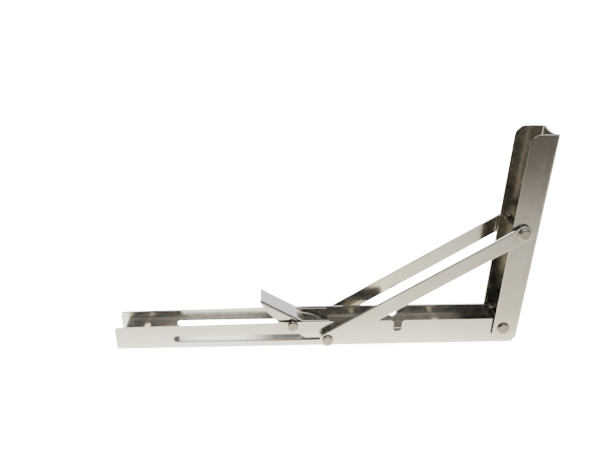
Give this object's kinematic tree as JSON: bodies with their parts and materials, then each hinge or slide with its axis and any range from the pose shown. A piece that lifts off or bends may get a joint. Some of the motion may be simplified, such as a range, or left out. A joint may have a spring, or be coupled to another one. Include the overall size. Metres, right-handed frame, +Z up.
{
  "type": "folding shelf bracket",
  "caption": "Folding shelf bracket: channel shelf arm hinged to a channel wall arm, flat brace bars sliding in a slot, and a sprung release lever.",
  "frame": {"origin": "centre of the bounding box on the plane of the shelf arm's web", "axes": "+X along the shelf arm towards the wall, +Y across the bracket, +Z up from the shelf face along the wall arm"},
  "size_m": [0.4, 0.0444, 0.219],
  "materials": {
    "arm_steel": "fine brushed stainless sheet, satin",
    "bar_steel": "polished and brushed stainless flat bar",
    "rivet_steel": "turned stainless, satin",
    "lever_steel": "brushed stainless sheet, satin",
    "spring_steel": "bright drawn spring wire"
  },
  "bodies": {
    "shelf_arm_body": {"shelf_arm": "arm_steel", "corner_pin": "rivet_steel", "corner_sleeve": "rivet_steel", "lever_pin": "rivet_steel"},
    "wall_arm_body": {"wall_arm": "arm_steel", "brace_pin": "rivet_steel", "brace_sleeve": "rivet_steel", "brace_washer_near": "rivet_steel", "brace_washer_far": "rivet_steel"},
    "slide_body": {"slide_pin": "rivet_steel", "slide_spacer_near": "rivet_steel", "slide_spacer_far": "rivet_steel"},
    "brace_body": {"brace_bar_near": "bar_steel", "brace_bar_far": "bar_steel", "brace_rivet_near": "rivet_steel", "brace_rivet_far": "rivet_steel"},
    "lever_body": {"release_lever": "lever_steel", "lever_spring": "spring_steel"}
  },
  "joints": [
    {"name": "fold", "type": "hinge", "parent": "shelf_arm_body", "child": "wall_arm_body", "pos_m": [0.184, 0, 0.0198], "axis": [0, -1, 0], "range_deg": [0, 88]},
    {"name": "brace_slide", "type": "slide", "parent": "shelf_arm_body", "child": "slide_body", "axis": [-1, 0, 0], "range_m": [0, 0.1403]},
    {"name": "brace_turn", "type": "hinge", "parent": "slide_body", "child": "brace_body", "pos_m": [0.0071, 0, 0.0121], "axis": [0, 1, 0], "range_deg": [0, 29.9]},
    {"name": "lever_press", "type": "hinge", "parent": "shelf_arm_body", "child": "lever_body", "pos_m": [-0.0271, 0, 0.025], "axis": [0, -1, 0], "range_deg": [0, 16], "stiffness_Nm_per_rad": 0.12, "springref_deg": -20.05}
  ],
  "couplings": [
    {"joint": "brace_slide", "follows": "fold", "m_per_rad": 0.091113},
    {"joint": "brace_turn", "follows": "fold", "ratio": 0.33817}
  ]
}
